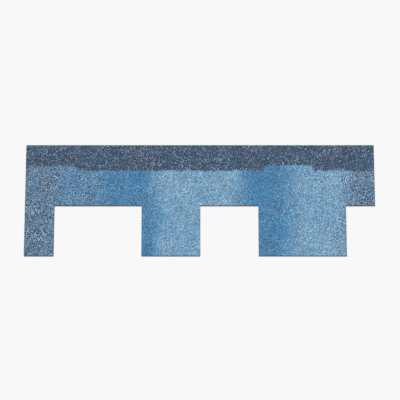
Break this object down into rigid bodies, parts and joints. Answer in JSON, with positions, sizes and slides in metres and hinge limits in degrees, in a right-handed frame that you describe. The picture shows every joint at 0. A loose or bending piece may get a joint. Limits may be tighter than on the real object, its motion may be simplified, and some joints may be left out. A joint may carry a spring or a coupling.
{
  "type": "asphalt strip shingle",
  "caption": "Flat granule-faced asphalt roofing strip with square-cut tabs of stepped widths along its lower edge, one unit of a lapped roof.",
  "frame": {"origin": "middle of the sheet's outer rectangle, on its back face", "axes": "+X along the course to the right as seen from the face, +Y up the roof slope towards the head lap, +Z out of the granule face"},
  "size_m": [1, 0.317, 0.003],
  "materials": {
    "mineral_granules": "matt, coarse mineral granules in blended blues, with black cut edges"
  },
  "bodies": {
    "root": {"shingle_strip": "mineral_granules"}
  },
  "joints": []
}
